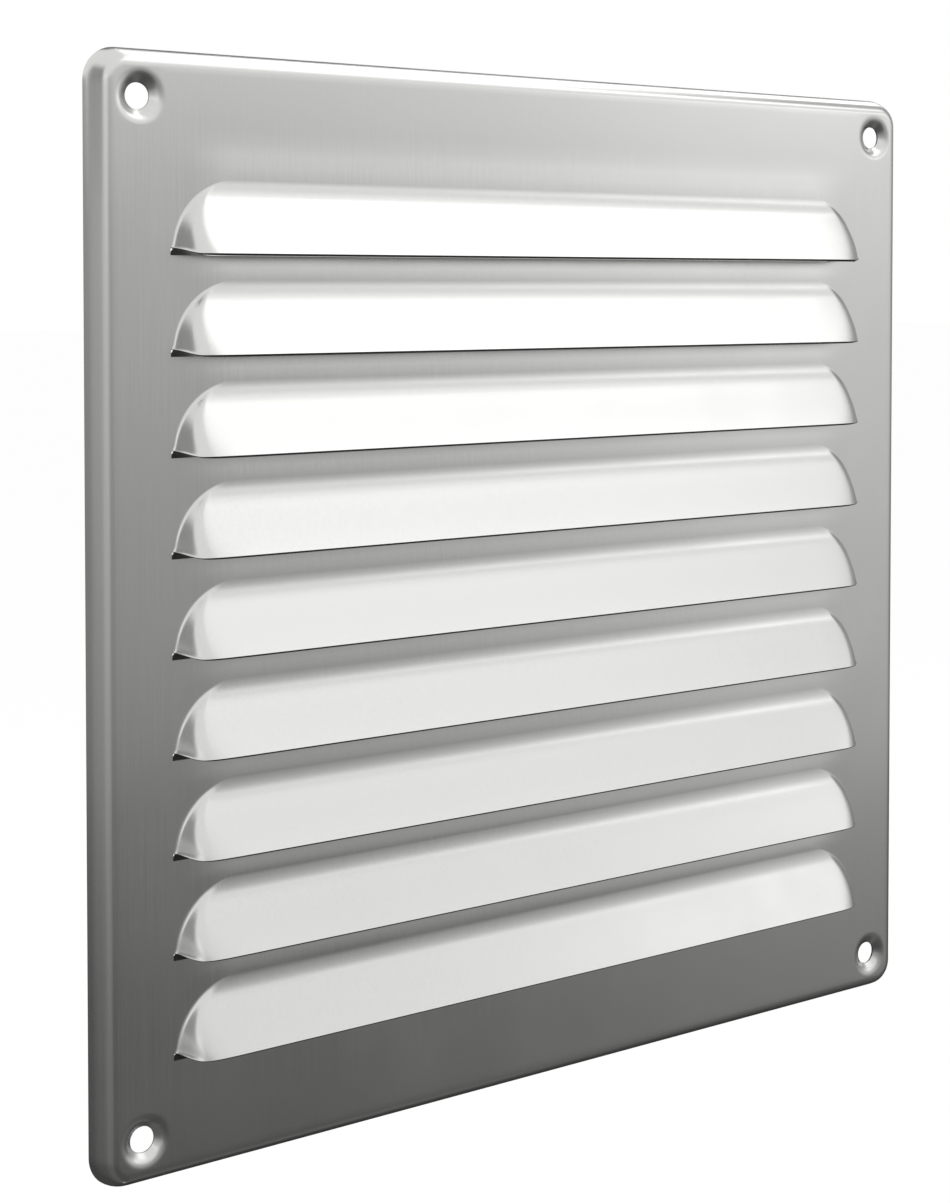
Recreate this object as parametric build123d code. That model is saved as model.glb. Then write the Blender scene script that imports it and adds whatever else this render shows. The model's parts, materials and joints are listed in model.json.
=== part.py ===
from build123d import *
import os
from math import asin, atan2, cos, hypot, radians, sin, tan

# One-piece louvred ventilation grille, pressed from a single steel sheet.
# X is the width, Z points up and the louvres face -Y. The origin is the middle
# of the wall plane, which the open edge of the folded rim touches.

# Sheet and folded rim
plate_size = 200.0  # width and height over the open edge of the rim
sheet = 0.8
rim_depth = 5.0  # wall plane to the front face
rim_slope = 66.0  # angle between the rim and the front face, in degrees
bend_radius = 2.5  # outside of the fold
corner_radius = 6.5  # rim corner, at the open edge

# Louvres, in a column that fills the plate between its margins
louvre_pitch = 17.7
top_margin = 36.4  # top edge of the rim to the first slot
bottom_margin = 20.0  # least height left under the last slot
side_margin = 14.75  # side edge of the rim to the end of a slot
louvre_height = 13.5  # slot to the root of the louvre
louvre_reach = 5.3  # front face to the outer edge of the lip
root_radius = 9.0  # hollow bend where a louvre leaves the plate
lip_gap = 0.4  # height of the lip above the slot
end_slope = 68.0  # angle between a louvre's end walls and the front face, in degrees
end_foot = 0.5  # straight foot of an end wall, under its rounded upper corner
crown_radius = 4.0  # rounding of the end walls towards the lip
crown_rise = 0.2  # how far that rounding would stand past the lip
slot_end_gap = 0.8  # height of the wedge that stays open at each end of a slot

# Screw holes
hole_inset = 9.0  # edge of the rim to a hole's middle, both ways
hole_diameter = 4.5
dimple_diameter = 9.0
dimple_slope = 30.0  # angle between the dimple's cone and the front face, in degrees

half_plate = plate_size / 2
front = -rim_depth
back = front + sheet
half_slot = half_plate - side_margin
end_radius = louvre_height - end_foot
louvre_count = 1 + int((plate_size - top_margin - bottom_margin) / louvre_pitch)
slots = [half_plate - top_margin - i * louvre_pitch for i in range(louvre_count)]
hole_at = half_plate - hole_inset
hole_grid = [(x, z) for x in (-hole_at, hole_at) for z in (-hole_at, hole_at)]


def tapered_block(width, height, radius, depth, slope, fold):
    """A block that stands on the wall plane and narrows by its slope to a filleted front face."""
    block = extrude(Plane.XZ * RectangleRounded(width, height, radius), depth, taper=90 - slope)
    return fillet(block.faces().sort_by(Axis.Y)[0].edges(), fold)


# The tray: front face and rim in one even thickness
wall = sheet / sin(radians(rim_slope))
outer_size = (plate_size, plate_size, corner_radius)
inner_size = (plate_size - 2 * wall, plate_size - 2 * wall, corner_radius - wall)
outer = tapered_block(*outer_size, rim_depth, rim_slope, bend_radius)
inner = tapered_block(*inner_size, rim_depth - sheet, rim_slope, bend_radius - sheet)
plate = outer - inner

# One louvre, standing on a slot at the middle of the plate. Seen from the end it is a
# hollow bend out of the plate and a straight fall to the lip, with the sheet's thickness
# between an outer and an inner outline in points (y, z).
fall = louvre_height - lip_gap
offset_reach = root_radius - louvre_reach
tilt = asin(root_radius / hypot(fall, offset_reach)) - atan2(offset_reach, fall)
bend_y = front - root_radius
inside = root_radius + sheet


def on_bend(radius, angle):
    """The point (y, z) at an angle round the bend at the louvre's root."""
    return (bend_y + radius * cos(angle), louvre_height - radius * sin(angle))


def bend_curve(radius):
    """The bend as a curve that is tangent to the plate at its root and to the straight fall at its end."""
    tangent_corner = (bend_y + radius, louvre_height - radius * tan(tilt / 2))
    return Bezier(on_bend(radius, 0), tangent_corner, on_bend(radius, tilt))


lip_outer = (front - louvre_reach, lip_gap)
lip_inner = (lip_outer[0] + sheet * cos(tilt), lip_outer[1] - sheet * sin(tilt))
past_lip = (lip_inner[0] - louvre_height * tan(tilt), lip_inner[1] - louvre_height)
outer_outline = [
    Line((back, slot_end_gap), (back, louvre_height)),
    Line((back, louvre_height), (front, louvre_height)),
    bend_curve(root_radius),
    Line(on_bend(root_radius, tilt), lip_outer),
    Line(lip_outer, lip_inner),
    Line(lip_inner, (back, slot_end_gap)),
]
inner_outline = [
    bend_curve(inside),
    Line(on_bend(inside, tilt), past_lip),
    Line(past_lip, (back, past_lip[1])),
    Line((back, past_lip[1]), (back, louvre_height)),
]

# Its ends are steep walls with a rounded upper corner and a rounded crown. The punch gives
# the outline these ends outside, and the core does so inside, the sheet's thickness away.
punch_height = 2 * (louvre_height + sheet)
punch_depth = louvre_reach + crown_rise
inset = sheet * tan(radians(end_slope) / 2)
punch_size = (2 * half_slot, punch_height, end_radius)
punch_face = RectangleRounded(*punch_size)
punch = extrude(Plane.XZ.offset(rim_depth) * punch_face, -sheet)
punch += Pos(0, front, 0) * tapered_block(*punch_size, punch_depth, end_slope, crown_radius)
core_size = (2 * (half_slot - inset), punch_height - 2 * inset, end_radius - inset)
core = Pos(0, back, 0) * tapered_block(*core_size, punch_depth, end_slope, crown_radius - sheet)
louvre = extrude(Plane.YZ * make_face(outer_outline), half_plate, both=True) & punch
louvre -= extrude(Plane.YZ * make_face(inner_outline), half_plate, both=True) & core

# The hole in the plate that one louvre fills
footprint = punch_face & Pos(0, louvre_height / 2) * Rectangle(plate_size, louvre_height)
window = extrude(Plane.XZ.offset(rim_depth) * footprint, -sheet)

# One dimple, drawn round a hole at the middle of the plate, in points (r, depth).
# Its edge is bent sharp at the back, so the front turns at the sheet's thickness.
slope = radians(dimple_slope)
rim_r = dimple_diameter / 2
hole_r = hole_diameter / 2
bend_end = (rim_r - sheet * sin(slope), sheet - sheet * cos(slope))
hole_front = (hole_r, bend_end[1] + (bend_end[0] - hole_r) * tan(slope))
hole_back = (hole_r, sheet + (rim_r - hole_r) * tan(slope))
dimple_outline = [
    Bezier((rim_r, 0), (rim_r - sheet * tan(slope / 2), 0), bend_end),
    Line(bend_end, hole_front),
    Line(hole_front, hole_back),
    Line(hole_back, (rim_r, sheet)),
    Line((rim_r, sheet), (rim_r, 0)),
]
dimple = Pos(0, front, 0) * revolve(make_face(dimple_outline), Axis.Y)
opening = extrude(Plane.XZ.offset(rim_depth) * Circle(rim_r), -sheet)

# Openings out of the plate, and pressed shapes into them
plate -= [Pos(0, 0, z) * window for z in slots] + [Pos(x, 0, z) * opening for x, z in hole_grid]
plate += [Pos(0, 0, z) * louvre for z in slots] + [Pos(x, 0, z) * dimple for x, z in hole_grid]

os.makedirs("parts", exist_ok=True)
export_step(plate, "parts/louvre_plate.step")
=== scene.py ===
import json
import bmesh
import bpy
import numpy as np
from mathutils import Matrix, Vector


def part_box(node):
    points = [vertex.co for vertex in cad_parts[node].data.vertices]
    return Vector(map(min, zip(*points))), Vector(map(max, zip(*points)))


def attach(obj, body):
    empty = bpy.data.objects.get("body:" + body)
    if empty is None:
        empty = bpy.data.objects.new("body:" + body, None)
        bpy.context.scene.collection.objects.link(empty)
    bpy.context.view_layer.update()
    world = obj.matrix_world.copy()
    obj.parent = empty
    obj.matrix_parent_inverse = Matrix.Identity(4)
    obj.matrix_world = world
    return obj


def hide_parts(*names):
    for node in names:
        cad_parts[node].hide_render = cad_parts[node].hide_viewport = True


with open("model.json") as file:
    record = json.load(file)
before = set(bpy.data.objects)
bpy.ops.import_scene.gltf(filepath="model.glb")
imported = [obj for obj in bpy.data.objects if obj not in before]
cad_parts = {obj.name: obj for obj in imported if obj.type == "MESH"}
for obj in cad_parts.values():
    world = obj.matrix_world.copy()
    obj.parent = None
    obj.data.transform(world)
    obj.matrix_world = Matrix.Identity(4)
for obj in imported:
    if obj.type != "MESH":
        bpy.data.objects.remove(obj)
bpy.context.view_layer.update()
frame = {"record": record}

# The louvre plate is one sheet of stainless steel. It is blanked and slit, its louvres and screw
# dimples are pressed out of the sheet, and its rim is folded back towards the wall it is screwed to.
# All sizes are in millimetres, with X across the width, Z up and the louvres facing -Y.
MM = 0.001
half_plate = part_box("louvre_plate")[1].x / MM
sheet = 0.8
rim_depth = 5.0
edge_break = 0.12
patches = []
sheared_and_shaded = []


def add(points, facing, is_sheared_and_shaded=False):
    """Keep a grid of points, turned so that the mean of its faces' normals agrees with facing, and note
    whether it is a cut edge, whose dark grey is partly painted shade, or a rolled skin of the sheet."""
    points = np.asarray(points, float)
    across, along = points[1:, 1:] - points[:-1, :-1], points[:-1, 1:] - points[1:, :-1]
    normals = np.cross(across, along)
    facing = np.broadcast_to(facing, points.shape)[:-1, :-1]
    patches.append(points if (normals * facing).sum() > 0 else points[::-1])
    sheared_and_shaded.append(is_sheared_and_shaded)


def add_sheet(points, into):
    """Keep both skins of the sheet: the front points, and the same points moved by the sheet's
    thickness along into, the unit normal that points into the sheet."""
    into = np.broadcast_to(into, points.shape)
    add(points, -into)
    add(points + sheet * into, into)


def add_cut(short, into, out, broken):
    """Close a cut edge of the sheet with its two arrises broken. The front skin ends short of the corner
    by the width broken, and the strip runs from there round the edge to the back skin."""
    corner = short + broken * out
    rows = [short, corner + broken * into, corner + (sheet - broken) * into, short + sheet * into]
    add(np.stack(rows), np.broadcast_to(out, (4, *short.shape)), is_sheared_and_shaded=True)


def lay(x, depth, z):
    """Stack coordinates into points, with depth counted from the plate's front face into the wall."""
    x, depth, z = np.broadcast_arrays(x, depth, z)
    return np.stack([x, depth - rim_depth, z], axis=-1)


# Louvres: a hollow bend leaves the plate at the root, and a straight fall from it ends at the lip. The
# ends are steep walls, which leave the plate in a small hollow and turn over a round crown. Their
# bottom edge rises to a notch at the end of the slot, and curls outwards a little where it was torn.
louvre_count = 9
louvre_pitch = 17.7
top_margin = 36.4
side_margin = 14.75
louvre_height = 13.5
louvre_reach = 5.3
root_radius = 9.0
lip_gap = 0.25
end_slope = np.radians(60)
end_root_radius = 1.0
crown_sharpness = 3.0
half_slot = half_plate - side_margin
half_straight = half_slot - louvre_height
fall = louvre_height - lip_gap
lean = root_radius - louvre_reach
tilt = np.arcsin(root_radius / np.hypot(fall, lean)) - np.arctan2(lean, fall)
upright = np.pi / 2


def bent(run, radius, angle):
    """Height of a line over its base: an arc of the radius out of the base, then straight at the angle."""
    on_arc = np.clip(run, 0, radius * np.sin(angle))
    return radius - np.sqrt(radius ** 2 - on_arc ** 2) + np.maximum(run - on_arc, 0) * np.tan(angle)


def hood_reach(x, t):
    """How far a louvre stands out of the plate at the height t over its slot: the smooth minimum
    a * b / (a^n + b^n)^(1/n) of the falling face a and the end wall b, with n the crown's sharpness."""
    above_zero = 1e-9
    past_end = np.maximum(np.abs(x) - half_straight, 0)
    face = bent(louvre_height - t, root_radius, tilt)
    wall = bent(louvre_height - np.hypot(past_end, t), end_root_radius, end_slope)
    both = (face ** crown_sharpness + wall ** crown_sharpness) ** (1 / crown_sharpness)
    return face * wall / np.maximum(both, above_zero)


# Rays round a louvre, from its right end over the top to its left end. At the ends they fan round the
# end of the straight part, and between the ends they stand upright. The flat round the louvres ends at
# the field's edge, which leaves a square for each screw hole in the corners of the flat face.
rim_slope = np.radians(66)
bend_radius = 2.5
screw_holes = next(m for m in frame["record"]["mounts"] if m["name"] == "screw_holes")
hole_at = screw_holes["dims"]["spacing_x_mm"] / 2
face_edge = half_plate - rim_depth / np.tan(rim_slope) - bend_radius * np.tan(rim_slope / 2)
field = 2 * hole_at - face_edge
notch_height = 1.35
notch_angle = np.arcsin(notch_height / louvre_height)
steep_angle = np.radians(70)
flat_steps = np.linspace(0, 1, 5)


def ray_angles(height):
    """Angles of the right-hand fan at the louvre's root: close steps from the notch that widen up to the
    cell's corner, then the angles that reach the flat's steps beyond the slot's end on the line above,
    then even steps to upright."""
    beyond = louvre_height + flat_steps[::-1] * (field - half_slot)
    shared = np.arctan2(height, beyond)
    low = np.linspace(notch_angle, shared[0], 21)[:-1]
    middle = np.linspace(shared[-1], steep_angle, 10)[1:]
    return np.r_[low, shared, middle, np.linspace(steep_angle, upright, 10)[1:]]


def fan(angles):
    """Feet, angles and sides of all rays: a right-hand fan, the upright rays of the straight part, and
    the fan's mirror image."""
    straight = np.linspace(half_straight, -half_straight, 25)[1:-1]
    feet = np.r_[np.full(len(angles), half_straight), straight, np.full(len(angles), -half_straight)]
    all_angles = np.r_[angles, np.full(len(straight), upright), angles[::-1]]
    return feet, all_angles, np.where(feet > 0, 1.0, -1.0)


def unit(vectors):
    """Vectors scaled to length one."""
    return vectors / np.linalg.norm(vectors, axis=-1, keepdims=True)


notch_length = 3.8
notch_tip = half_straight + louvre_height * np.cos(notch_angle)
lip_end = lip_gap + edge_break * np.cos(tilt)
curl_reach = 0.3
curl_width = 0.4
steps_down = 0.5 - 0.5 * np.cos(np.linspace(0, np.pi, 25))


def add_hood(slot, angles):
    """The pressed part of a louvre. Its columns fall from the root, a quarter circle at each end, to the
    bottom edge, which rises by a squared sine to the notch. The curl is a sine along the notch, and it
    dies away exponentially up the wall. The cut edge is broken by at most a quarter of the wall's height."""
    feet, turned, sides = fan(angles)
    x = feet + sides * louvre_height * np.cos(turned)
    root = louvre_height * np.sin(turned)
    notch = np.clip(1 - (notch_tip - np.abs(x)) / notch_length, 0, 1)
    edge = np.minimum(lip_end + (notch_height - lip_end) * np.sin(notch * upright) ** 2, root)
    t = root + steps_down[:, None] * (edge - root)
    step = 0.001
    slope_x = (hood_reach(x + step, t) - hood_reach(x - step, t)) / (2 * step)
    slope_t = (hood_reach(x, t + step) - hood_reach(x, t - step)) / (2 * step)
    into = unit(np.stack([slope_x, np.ones_like(t), slope_t], axis=-1))
    into[0] = (0, 1, 0)
    curl = curl_reach * np.sin(notch * np.pi) * np.minimum((root - edge) / curl_width, 1)
    curl = curl * np.exp((edge - t) / curl_width) * steps_down[:, None]
    hood = lay(x, -hood_reach(x, t), slot + t) - curl[..., None] * into
    add_sheet(hood, into)
    out = unit(np.stack([np.zeros_like(x), slope_t[-1], -np.ones_like(x)], axis=-1))
    add_cut(hood[-1], into[-1], out, np.minimum(edge_break, (root - edge) / 4)[:, None])


# The ramp nearly closes each slot's end behind the notch, and its cut face carries the dark grey of painted
# shade.
ramp_length = 9.0
ramp_share = 0.94
slack = edge_break / 10


def ramp_height(x):
    """How far the torn lower edge of a slot climbs at the back: a squared sine along the ramp, to just
    short of the notch's upper edge."""
    along = np.clip((np.abs(x) - half_slot + ramp_length) / ramp_length, 0, 1)
    climb = ramp_share * notch_height * np.sin(along * upright) ** 2
    return np.where(np.abs(x) < half_slot - slack, climb, 0)


def add_flat(slot, top, angles):
    """The flat of the plate round a louvre, along rays from its root to the field's sides and the height
    top, with the cut ends of the slot under the notch. Returns the X of the top row and the Z of the side
    row, for the patches that join them."""
    under_notch = np.linspace(0, notch_angle, 4)
    feet, turned, sides = fan(np.r_[under_notch[:-1], angles])
    run, rise = sides * np.cos(turned), np.sin(turned)
    with np.errstate(divide="ignore"):
        reach = np.minimum((field - half_straight) / np.abs(run), (top - slot) / rise)
    s = louvre_height + flat_steps[:, None] * (reach - louvre_height)
    flat = lay(feet + s * run, 0, slot + s * rise)
    add(flat, (0, -1, 0))
    back = flat + (0, sheet, 0)
    on_top = np.isclose(flat[-1, :, 2], top)
    if top < field:
        back[-1, on_top, 2] += ramp_height(flat[-1, on_top, 0])
    add(back, (0, 1, 0))
    slot_end = np.stack([flat[0], back[0]])[:, :len(under_notch)]
    for side in (1, -1):
        add(slot_end * (side, 1, 1), (-side, 0, 0), is_sheared_and_shaded=True)
    on_side = np.isclose(flat[-1, :, 0], field)
    return flat[-1, on_top, 0], flat[-1, on_side, 2]


def add_slot_edge(x, slot):
    """The cut edge of the plate under a slot, along the part of the X row that the slot spans."""
    x = x[np.abs(x) <= half_slot + slack]
    add(np.stack([lay(x, 0, slot), lay(x, sheet, slot + ramp_height(x))]), (0, 0, 1), is_sheared_and_shaded=True)


slots = half_plate - top_margin - louvre_pitch * np.arange(louvre_count)
tops = np.r_[field, slots[:-1]]
side_z = []
for slot, top in zip(slots, tops):
    angles = ray_angles(top - slot)
    add_hood(slot, angles)
    row_x, column_z = add_flat(slot, top, angles)
    side_z.append(column_z)
    if top == field:
        top_x = row_x
    else:
        add_slot_edge(row_x, top)

# Margins of the flat face: under the last louvre, over the first one and along both sides. They take
# their columns and rows from the flats round the louvres, so that the points meet.
margin = np.linspace(field, face_edge, 11)
foot_z = np.linspace(-field, slots[-1], 6)
bottom = lay(row_x, 0, np.r_[-margin[::-1], foot_z[1:]][:, None])
add(bottom, (0, -1, 0))
bottom_back = bottom + (0, sheet, 0)
bottom_back[-1, :, 2] += ramp_height(row_x)
add(bottom_back, (0, 1, 0))
add_slot_edge(row_x, slots[-1])
add_sheet(lay(top_x, 0, margin[:, None]), (0, 1, 0))
column_z = np.unique(np.round(np.r_[foot_z, np.concatenate(side_z)], 6))
for side in (-1, 1):
    add_sheet(lay(side * margin, 0, column_z[:, None]), (0, 1, 0))

# Corner squares, each with a dimpled screw hole. Rings run from the square, whose outer corner is the
# rounded corner of the flat face, to the dimple's edge, round its bend and down its cone to the hole.
corner_radius = 6.5
dimple_radius = 5.0
dimple_slope = np.radians(35)
dimple_bend = 3.0
hole_radius = screw_holes["dims"]["hole_r_mm"]
square_half = face_edge - hole_at
arc_radius = corner_radius - (half_plate - face_edge)
arc_middle = square_half - arc_radius
arc = np.linspace(0, upright, 13)
arc_x, arc_z = arc_middle + arc_radius * np.cos(arc), arc_middle + arc_radius * np.sin(arc)
straight = np.linspace(-square_half, arc_middle, 8)[:-1]
outer_side = np.full(len(straight), square_half)
corner_x = np.r_[outer_side, arc_x, straight[::-1]]
corner_z = np.r_[straight, arc_z, outer_side]
inner = margin - hole_at
inner_side = np.full(len(inner), -square_half)
loop_x = np.r_[inner, corner_x[1:], inner_side[1:]]
loop_z = np.r_[inner_side, corner_z[1:], inner[::-1][1:]]
spoke = np.hypot(loop_x, loop_z)
dive = np.linspace(0, dimple_slope, 7)
bend_r = dimple_radius - dimple_bend * np.sin(dive)
bend_depth = dimple_bend * (1 - np.cos(dive))
hole_depth = bend_depth[-1] + (bend_r[-1] - hole_radius) * np.tan(dimple_slope)
cone = np.linspace(0, 1, 4)[1:]
cone_r = bend_r[-1] + cone * (hole_radius + edge_break * np.cos(dimple_slope) - bend_r[-1])
cone_depth = bend_depth[-1] + cone * (hole_depth - edge_break * np.sin(dimple_slope) - bend_depth[-1])
spread = np.linspace(1, 0, 4)[:-1]
ring_r = np.r_[np.full(len(spread), dimple_radius), bend_r, cone_r]
ring_depth = np.r_[np.zeros(len(spread)), bend_depth, cone_depth]
ring_dive = np.r_[np.zeros(len(spread)), dive, np.full(len(cone), dimple_slope)]
ring_spread = np.r_[spread, np.zeros(len(dive) + len(cone))]
for side in (-1, 1):
    for level in (-1, 1):
        to_x, to_z = side * loop_x / spoke, level * loop_z / spoke
        r = ring_r[:, None] + ring_spread[:, None] * (spoke - dimple_radius)
        sine, cosine = np.sin(ring_dive)[:, None], np.cos(ring_dive)[:, None]
        into = np.stack(np.broadcast_arrays(sine * to_x, cosine, sine * to_z), axis=-1)
        skin = lay(side * hole_at + r * to_x, ring_depth[:, None], level * hole_at + r * to_z)
        add_sheet(skin, into)
        sine, cosine = np.sin(dimple_slope), np.cos(dimple_slope)
        out = np.stack(np.broadcast_arrays(-cosine * to_x, sine, -cosine * to_z), axis=-1)
        add_cut(skin[-1], into[-1], out, edge_break)

# Rim: a profile carried round the outline of the flat face. The profile is the outside of the fold, then
# the straight flange, and a roll to the open edge, which just reaches the wall plane with its inner arris.
flange_slope, edge_slope = np.radians(62), np.radians(86)
edge_roll = 7.0
fold = np.linspace(0, flange_slope, 9)
roll = np.linspace(flange_slope, edge_slope, 7)
fold_step, fold_depth = bend_radius * np.sin(fold), bend_radius * (1 - np.cos(fold))
roll_step = edge_roll * (np.sin(roll) - np.sin(flange_slope))
roll_depth = edge_roll * (np.cos(flange_slope) - np.cos(roll))
open_depth = rim_depth - sheet * np.cos(edge_slope) - edge_break * np.sin(edge_slope)
flange = open_depth - fold_depth[-1] - roll_depth[-1]
rim_step = np.r_[fold_step, fold_step[-1] + flange / np.tan(flange_slope) + roll_step]
rim_down = np.r_[fold_depth, fold_depth[-1] + flange + roll_depth]
rim_turn = np.r_[fold, roll]


def add_rim(x, z, out_x, out_z):
    """A stretch of the rim: the rim's profile stepped outwards from the points (x, z) of the outline."""
    sine, cosine = np.sin(rim_turn)[:, None], np.cos(rim_turn)[:, None]
    into = np.stack(np.broadcast_arrays(-sine * out_x, cosine, -sine * out_z), axis=-1)
    points = lay(x + rim_step[:, None] * out_x, rim_down[:, None], z + rim_step[:, None] * out_z)
    add_sheet(points, into)
    sine, cosine = np.sin(edge_slope), np.cos(edge_slope)
    out = np.stack(np.broadcast_arrays(cosine * out_x, sine, cosine * out_z), axis=-1)
    add_cut(points[-1], into[-1], out, edge_break)


add_rim(top_x, face_edge, 0, 1)
add_rim(row_x, -face_edge, 0, -1)
corner_turn = np.r_[np.zeros(len(straight)), arc, np.full(len(straight), upright)]
corner_out_x, corner_out_z = np.cos(corner_turn), np.sin(corner_turn)
for side in (-1, 1):
    add_rim(side * face_edge, column_z, side, 0)
    for level in (-1, 1):
        corner = side * (hole_at + corner_x), level * (hole_at + corner_z)
        add_rim(*corner, side * corner_out_x, level * corner_out_z)

# The whole sheet: all patches put together, with a slight swell of the strips between the louvres, and
# welded into one closed skin that is sharp at its cut edges.
strip_swell = 0.22
weld_distance = 0.002 * MM
sharp_angle = np.radians(24)


def swell(x, z):
    """How far the pressing pulled the sheet outwards: most along the roots of the louvres, nothing at the
    slots or beyond their ends."""
    s = np.where(z > slots[0], z - slots[0], np.mod(z - slots[-1], louvre_pitch))
    strip = np.where(z > slots[0], louvre_height / 2, louvre_pitch - louvre_height)
    rise = np.where(s < louvre_height, s / louvre_height, 1 - (s - louvre_height) / strip)
    ease = 0.5 - 0.5 * np.cos(np.pi * np.clip((half_slot - np.abs(x)) / louvre_height, 0, 1))
    return np.where(z > slots[-1], strip_swell * ease * np.sin(np.clip(rise, 0, 1) * upright) ** 2, 0)


def grid_faces(rows, columns, start):
    """The four corners of every cell of a grid whose points are numbered row by row from start."""
    first = start + np.arange(rows - 1)[:, None] * columns + np.arange(columns - 1)
    return np.stack([first, first + 1, first + columns + 1, first + columns], axis=-1).reshape(-1, 4)


points = np.concatenate([p.reshape(-1, 3) for p in patches])
points[:, 1] -= swell(points[:, 0], points[:, 2])
starts = np.cumsum([0] + [p.shape[0] * p.shape[1] for p in patches])
faces = np.concatenate([grid_faces(*p.shape[:2], start) for p, start in zip(patches, starts)])
face_counts = [(p.shape[0] - 1) * (p.shape[1] - 1) for p in patches]
mesh = bpy.data.meshes.new("louvre_plate_sheet")
mesh.from_pydata(points * MM, [], faces)
# The cut edges' faces are marked for their dark grey, which is partly painted shade in the slots and
# notches.
mark = mesh.attributes.new("sheared_and_shaded", "FLOAT", "FACE")
mark.data.foreach_set("value", np.repeat(np.array(sheared_and_shaded, np.float32), face_counts))
welded = bmesh.new()
welded.from_mesh(mesh)
bmesh.ops.remove_doubles(welded, verts=welded.verts, dist=weld_distance)
welded.to_mesh(mesh)
welded.free()
mesh.shade_smooth()
mesh.set_sharp_from_angle(angle=sharp_angle)
plate = bpy.data.objects.new("louvre_plate_sheet", mesh)
bpy.context.scene.collection.objects.link(plate)
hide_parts("louvre_plate")
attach(plate, "root")


def linear(code):
    """An sRGB hex colour as linear RGBA."""
    srgb = np.array([int(code[i:i + 2], 16) for i in (1, 3, 5)]) / 255
    return (*np.where(srgb <= 0.04045, srgb / 12.92, ((srgb + 0.055) / 1.055) ** 2.4), 1)


def node(tree, kind, links=None, inputs=None, **settings):
    """Add a node, set its attributes and its sockets' values, and link its inputs to other sockets."""
    made = tree.nodes.new(kind)
    for name, value in settings.items():
        setattr(made, name, value)
    for name, value in (inputs or {}).items():
        made.inputs[name].default_value = value
    for name, source in (links or {}).items():
        tree.links.new(source, made.inputs[name])
    return made


# Brushed stainless steel, rolled and then drawn over a belt: a soft mirror with a fine upright grain, a
# little uneven in its gloss where it has been handled. Cut edges are dull, and their dark grey is partly
# their own tone and partly painted shade, for the shadow in the slots and the notches at their ends.
# A belt's marks are under 0.1 mm wide, and they are drawn coarser here, so that they show.
grain_width = 0.25 * MM
grain_length = 30 * MM
smudge_size = 22 * MM
noise_low, noise_high = 0.3, 0.7
glossy, worn = 0.2, 0.26
grain_swing = 0.02
sheared_roughness = 0.5
grain_relief = 0.012
steel_deep, steel_pale, sheared_and_shade_grey = linear("#cfcfcd"), linear("#d9d9d7"), linear("#4c4c4b")
steel = bpy.data.materials.new("brushed_stainless")
steel.use_nodes = True
tree = steel.node_tree
tree.nodes.clear()
place = node(tree, "ShaderNodeTexCoord").outputs["Object"]
along_grain = node(
    tree, "ShaderNodeVectorMath", {0: place}, operation="MULTIPLY",
    inputs={1: (1 / grain_width, 1 / grain_width, 1 / grain_length)},
)
grain = node(
    tree, "ShaderNodeTexNoise", {"Vector": along_grain.outputs["Vector"]},
    inputs={"Scale": 1.0, "Detail": 3.0, "Roughness": 0.6},
)
smudge = node(
    tree, "ShaderNodeTexNoise", {"Vector": place},
    inputs={"Scale": 1 / smudge_size, "Detail": 4.0, "Roughness": 0.55},
)
grain_gloss = node(
    tree, "ShaderNodeMapRange", {"Value": grain.outputs["Fac"]},
    inputs={"From Min": noise_low, "From Max": noise_high, "To Min": -grain_swing, "To Max": grain_swing},
)
gloss = node(
    tree, "ShaderNodeMapRange", {"Value": smudge.outputs["Fac"]},
    inputs={"From Min": noise_low, "From Max": noise_high, "To Min": glossy, "To Max": worn},
)
roughness = node(
    tree, "ShaderNodeMath", {0: grain_gloss.outputs["Result"], 1: gloss.outputs["Result"]}, operation="ADD",
)
tone = node(
    tree, "ShaderNodeMix", {"Factor": grain.outputs["Fac"]}, data_type="RGBA",
    inputs={"A": steel_deep, "B": steel_pale},
)
# Painted shade: the cut edges take a dark grey, partly their own dull tone and partly the shadow in the
# slots and notches.
cut_and_shade_mark = node(tree, "ShaderNodeAttribute", attribute_name="sheared_and_shaded").outputs["Fac"]
edge_and_shade_tone = node(
    tree, "ShaderNodeMix", {"Factor": cut_and_shade_mark, "A": tone.outputs["Result"]}, data_type="RGBA",
    inputs={"B": sheared_and_shade_grey},
)
edge_roughness = node(
    tree, "ShaderNodeMix", {"Factor": cut_and_shade_mark, "A": roughness.outputs["Value"]},
    inputs={"B": sheared_roughness},
)
relief = node(
    tree, "ShaderNodeBump", {"Height": grain.outputs["Fac"]},
    inputs={"Strength": grain_relief, "Distance": grain_width},
)
shader = node(
    tree, "ShaderNodeBsdfPrincipled",
    {"Base Color": edge_and_shade_tone.outputs["Result"], "Roughness": edge_roughness.outputs["Result"],
     "Normal": relief.outputs["Normal"]},
    inputs={"Metallic": 1.0},
)
node(tree, "ShaderNodeOutputMaterial", {"Surface": shader.outputs["BSDF"]})
mesh.materials.append(steel)

# Studio floor: a pale sheet well below the grille, which hangs as if on its wall. It shows as white to
# the camera and in the steel, and it keeps a little of the grille's shadow. Stage sizes are in metres.
floor_half = 30.0
floor_z = -0.6
white_share = 0.88
floor_mesh = bpy.data.meshes.new("floor")
floor_mesh.from_pydata(
    [(-floor_half, -floor_half, floor_z), (floor_half, -floor_half, floor_z),
     (floor_half, floor_half, floor_z), (-floor_half, floor_half, floor_z)],
    [], [(0, 1, 2, 3)],
)
floor = bpy.data.objects.new("floor", floor_mesh)
bpy.context.scene.collection.objects.link(floor)
pale = bpy.data.materials.new("pale_paper")
pale.use_nodes = True
tree = pale.node_tree
tree.nodes.clear()
rays = node(tree, "ShaderNodeLightPath").outputs
seen = node(tree, "ShaderNodeMath", {0: rays["Is Camera Ray"], 1: rays["Is Glossy Ray"]}, operation="ADD")
share = node(
    tree, "ShaderNodeMath", {0: seen.outputs["Value"]}, operation="MULTIPLY", inputs={1: white_share},
)
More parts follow.
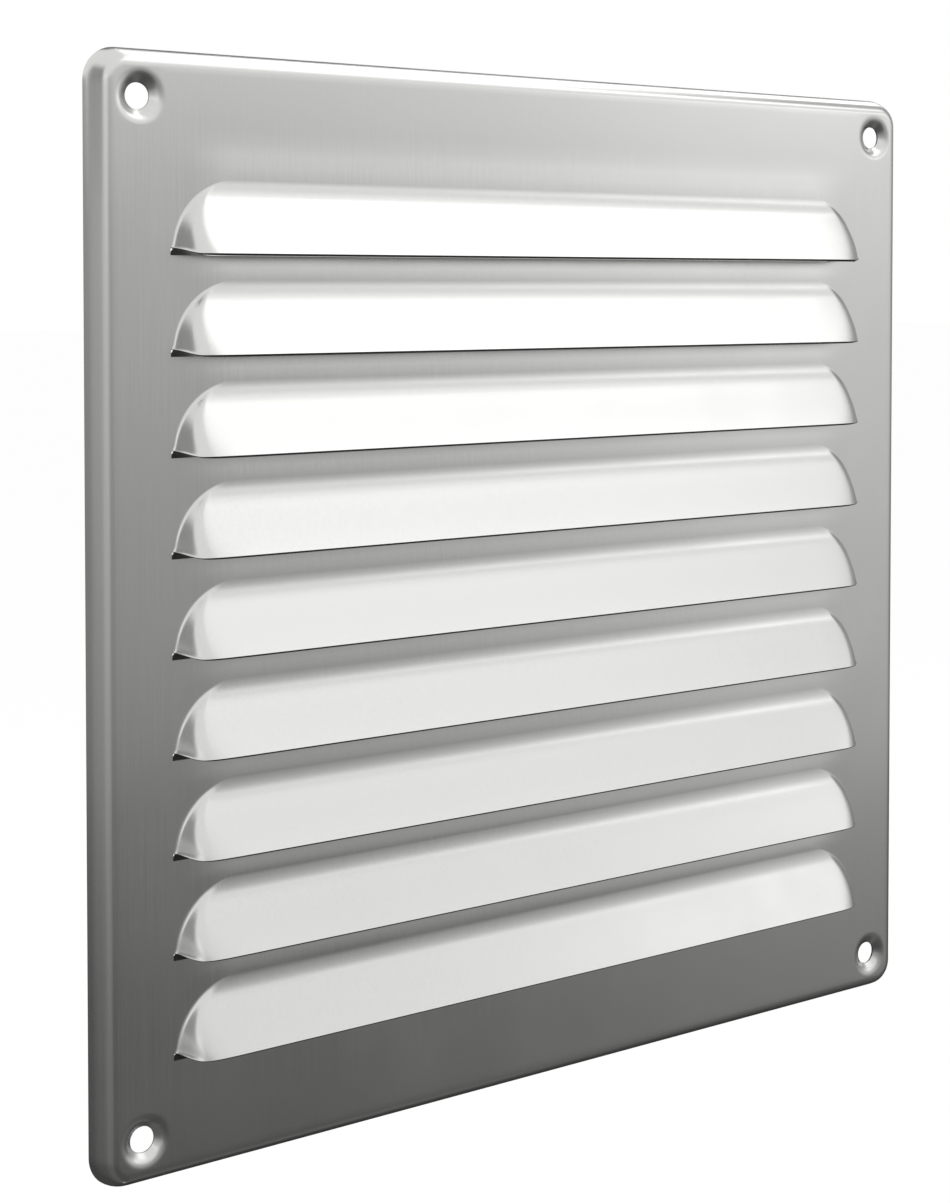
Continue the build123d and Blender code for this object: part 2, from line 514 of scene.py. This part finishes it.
paper = node(tree, "ShaderNodeBsdfDiffuse", inputs={"Color": linear("#f3f3f2")})
white = node(tree, "ShaderNodeEmission", inputs={"Color": linear("#ffffff"), "Strength": 1.0})
mixed = node(
    tree, "ShaderNodeMixShader",
    {"Fac": share.outputs["Value"], 1: paper.outputs["BSDF"], 2: white.outputs["Emission"]},
)
node(tree, "ShaderNodeOutputMaterial", {"Surface": mixed.outputs["Shader"]})
floor_mesh.materials.append(pale)

# White room round the stage, and two soft panels overhead to the right, a bright one and a dim one before
# it. Their front edges lie along the plate's width, so the upper louvres and the top of the rim face the
# bright panel, the louvres under them the dim one, and the lowest louvres the room.
world = bpy.data.worlds.new("studio")
world.use_nodes = True
world.node_tree.nodes["Background"].inputs["Color"].default_value = linear("#ffffff")
bpy.context.scene.world = world
panel_width = 1.55
panel_x, panel_z = 1.25, 1.2
for name, front, length, radiance in (("soft_panel", -1.2, 2.7, 1.0), ("dim_panel", -2.0, 0.8, 0.22)):
    panel = bpy.data.lights.new(name, "AREA")
    panel.shape = "RECTANGLE"
    panel.size, panel.size_y = panel_width, length
    panel.energy = radiance * np.pi * panel_width * length
    lamp = bpy.data.objects.new(name, panel)
    bpy.context.scene.collection.objects.link(lamp)
    lamp.location = (panel_x, front + length / 2, panel_z)
    lamp.visible_camera = False


def round_stage(radius, bearing, z):
    """Points at a radius from the stage's upright axis, with the bearing counted from the front towards
    the right: X is the radius times its sine, and -Y the radius times its cosine."""
    x, y, z = np.broadcast_arrays(radius * np.sin(bearing), -radius * np.cos(bearing), z)
    return np.stack([x, y, z], axis=-1)


def add_card(name, points):
    """A sheet on a grid of points which only shows in reflections."""
    card_mesh = bpy.data.meshes.new(name)
    card_mesh.from_pydata(points.reshape(-1, 3), [], grid_faces(*points.shape[:2], 0))
    card = bpy.data.objects.new(name, card_mesh)
    bpy.context.scene.collection.objects.link(card)
    card.visible_camera = False
    card.visible_diffuse = False
    card.visible_transmission = False
    card.visible_shadow = False
    return card_mesh


# Reflection card: a low curved sheet that stands all round the stage, on the edge of a dark cloth. It
# pales upwards from the cloth, and only the steel sees it, as a photographer shades a shiny plate. Its
# levels of light go by the angle of rise and by the bearing, in degrees, both seen from the grille.
card_radius = 1.2
card_foot = -0.5
card_head = 0.36
card_turn = np.pi
cloth_middle = 0.02
low_sine, high_sine = -0.5, 0.3
rise_levels = [(-30, 0.09), (-21, 0.13), (-16, 0.17), (-13.5, 0.2), (-12, 0.37), (-10.5, 0.37), (-8.5, 0.31),
               (-4, 0.39), (0, 0.43), (5, 0.48), (10, 0.62), (16, 1.0)]
turn_levels = [(-120, 0.75), (-104, 1.05), (-75, 1.2), (-60, 1.5), (-30, 1.5), (-15, 0.95), (10, 0.95),
               (25, 1.14), (38, 1.38), (47, 2.05), (60, 1.5), (80, 0.85), (100, 0.57), (140, 0.5)]
turns = np.linspace(-card_turn, card_turn, 91)
cloth_out = np.linspace(cloth_middle, 1, 8)
card_up = np.linspace(card_foot, card_head, 11)[1:]
card_out = np.r_[cloth_out, np.ones(len(card_up))]
card_z = np.r_[np.full(len(cloth_out), card_foot), card_up]
card_points = round_stage(card_radius * card_out[:, None], turns, card_z[:, None])
card_mesh = add_card("reflection_card", card_points)
graded = bpy.data.materials.new("graded_card")
graded.use_nodes = True
tree = graded.node_tree
tree.nodes.clear()
place = node(tree, "ShaderNodeTexCoord").outputs["Object"]
axes = node(tree, "ShaderNodeSeparateXYZ", {"Vector": place}).outputs
distance = node(tree, "ShaderNodeVectorMath", {0: place}, operation="LENGTH").outputs["Value"]
rise_sine = node(tree, "ShaderNodeMath", {0: axes["Z"], 1: distance}, operation="DIVIDE").outputs["Value"]
forward = node(tree, "ShaderNodeMath", {0: axes["Y"]}, operation="MULTIPLY", inputs={1: -1.0})
bearing = node(
    tree, "ShaderNodeMath", {0: axes["X"], 1: forward.outputs["Value"]}, operation="ARCTAN2",
).outputs["Value"]
rise_share = node(
    tree, "ShaderNodeMapRange", {"Value": rise_sine},
    inputs={"From Min": low_sine, "From Max": high_sine},
).outputs["Result"]
turn_share = node(
    tree, "ShaderNodeMapRange", {"Value": bearing},
    inputs={"From Min": -card_turn, "From Max": card_turn},
).outputs["Result"]
rise_ramp = node(tree, "ShaderNodeValToRGB", {"Fac": rise_share})
turn_ramp = node(tree, "ShaderNodeValToRGB", {"Fac": turn_share})
rise_stops = [((np.sin(np.radians(d)) - low_sine) / (high_sine - low_sine), v) for d, v in rise_levels]
turn_stops = [((np.radians(d) + card_turn) / (2 * card_turn), v) for d, v in turn_levels]
for ramp, stops in ((rise_ramp.color_ramp, rise_stops), (turn_ramp.color_ramp, turn_stops)):
    while len(ramp.elements) < len(stops):
        ramp.elements.new(1.0)
    for element, (position, light) in zip(ramp.elements, stops):
        element.position = position
        element.color = (light, light, light, 1)
card_light = node(
    tree, "ShaderNodeMath", {0: rise_ramp.outputs["Color"], 1: turn_ramp.outputs["Color"]},
    operation="MULTIPLY",
).outputs["Value"]
glow = node(tree, "ShaderNodeEmission", {"Strength": card_light}, inputs={"Color": linear("#ffffff")})
node(tree, "ShaderNodeOutputMaterial", {"Surface": glow.outputs["Emission"]})
card_mesh.materials.append(graded)

# Three grey flags: to the left and the right over the card, where they shade the ends of the louvres, and
# at the back, where one shades the far edge of the rim. They fade at their sides and heads into the white
# of the room. The back flag fades over a narrower edge, and its head climbs from side to side.
flag_radius = 1.0
grey = bpy.data.materials.new("grey_flag")
grey.use_nodes = True
tree = grey.node_tree
tree.nodes.clear()
flag_light = node(tree, "ShaderNodeAttribute", attribute_name="level").outputs["Fac"]
glow = node(tree, "ShaderNodeEmission", {"Strength": flag_light}, inputs={"Color": linear("#ffffff")})
node(tree, "ShaderNodeOutputMaterial", {"Surface": glow.outputs["Emission"]})
across, upwards = np.linspace(0, 1, 33), np.linspace(0, 1, 17)[:, None]
for name, turn, foot, heads, darkest, firmness in (
    ("left_flag", (-125, -50), 0.15, (1.1, 1.1), 0.36, 1.6),
    ("right_flag", (63, 108), 0.15, (1.4, 1.4), 0.4, 1.6),
    ("back_flag", (112, 172), -0.1, (0.42, 1.36), 0.12, 5.0),
):
    bearings = np.radians(turn[0] + across * (turn[1] - turn[0]))
    head = heads[0] + across * (heads[1] - heads[0])
    flag_mesh = add_card(name, round_stage(flag_radius, bearings, foot + upwards * (head - foot)))
    from_sides = np.clip(firmness * np.sin(across * np.pi), 0, 1)
    from_head = np.clip(firmness * np.cos(upwards * upright), 0, 1)
    levels = flag_mesh.attributes.new("level", "FLOAT", "POINT")
    levels.data.foreach_set("value", (1 - (1 - darkest) * from_sides * from_head).ravel())
    flag_mesh.materials.append(grey)

# Camera: placed by the outline and the louvres' lines in the photograph. Its place is counted in
# millimetres from the middle of the plate's front face, and the rows of pixels from the picture's top.
focal_pixels = 2218.5
photo_height = 1203
horizon_row = 360.0
camera_x, camera_y, camera_z = -274.07, -340.63, 58.25
yaw, pitch = np.radians(36.81), np.radians(-1.91)
lens = bpy.data.cameras.new("camera")
lens.sensor_width = 36.0
lens.lens = focal_pixels / photo_height * lens.sensor_width
lens.shift_y = (horizon_row - photo_height / 2) / photo_height
camera = bpy.data.objects.new("camera", lens)
bpy.context.scene.collection.objects.link(camera)
camera.location = Vector((camera_x, camera_y - rim_depth, camera_z)) * MM
look = Vector((np.sin(yaw) * np.cos(pitch), np.cos(yaw) * np.cos(pitch), np.sin(pitch)))
camera.rotation_euler = look.to_track_quat("-Z", "Y").to_euler()
bpy.context.scene.camera = camera
bpy.context.scene.view_settings.view_transform = "Standard"
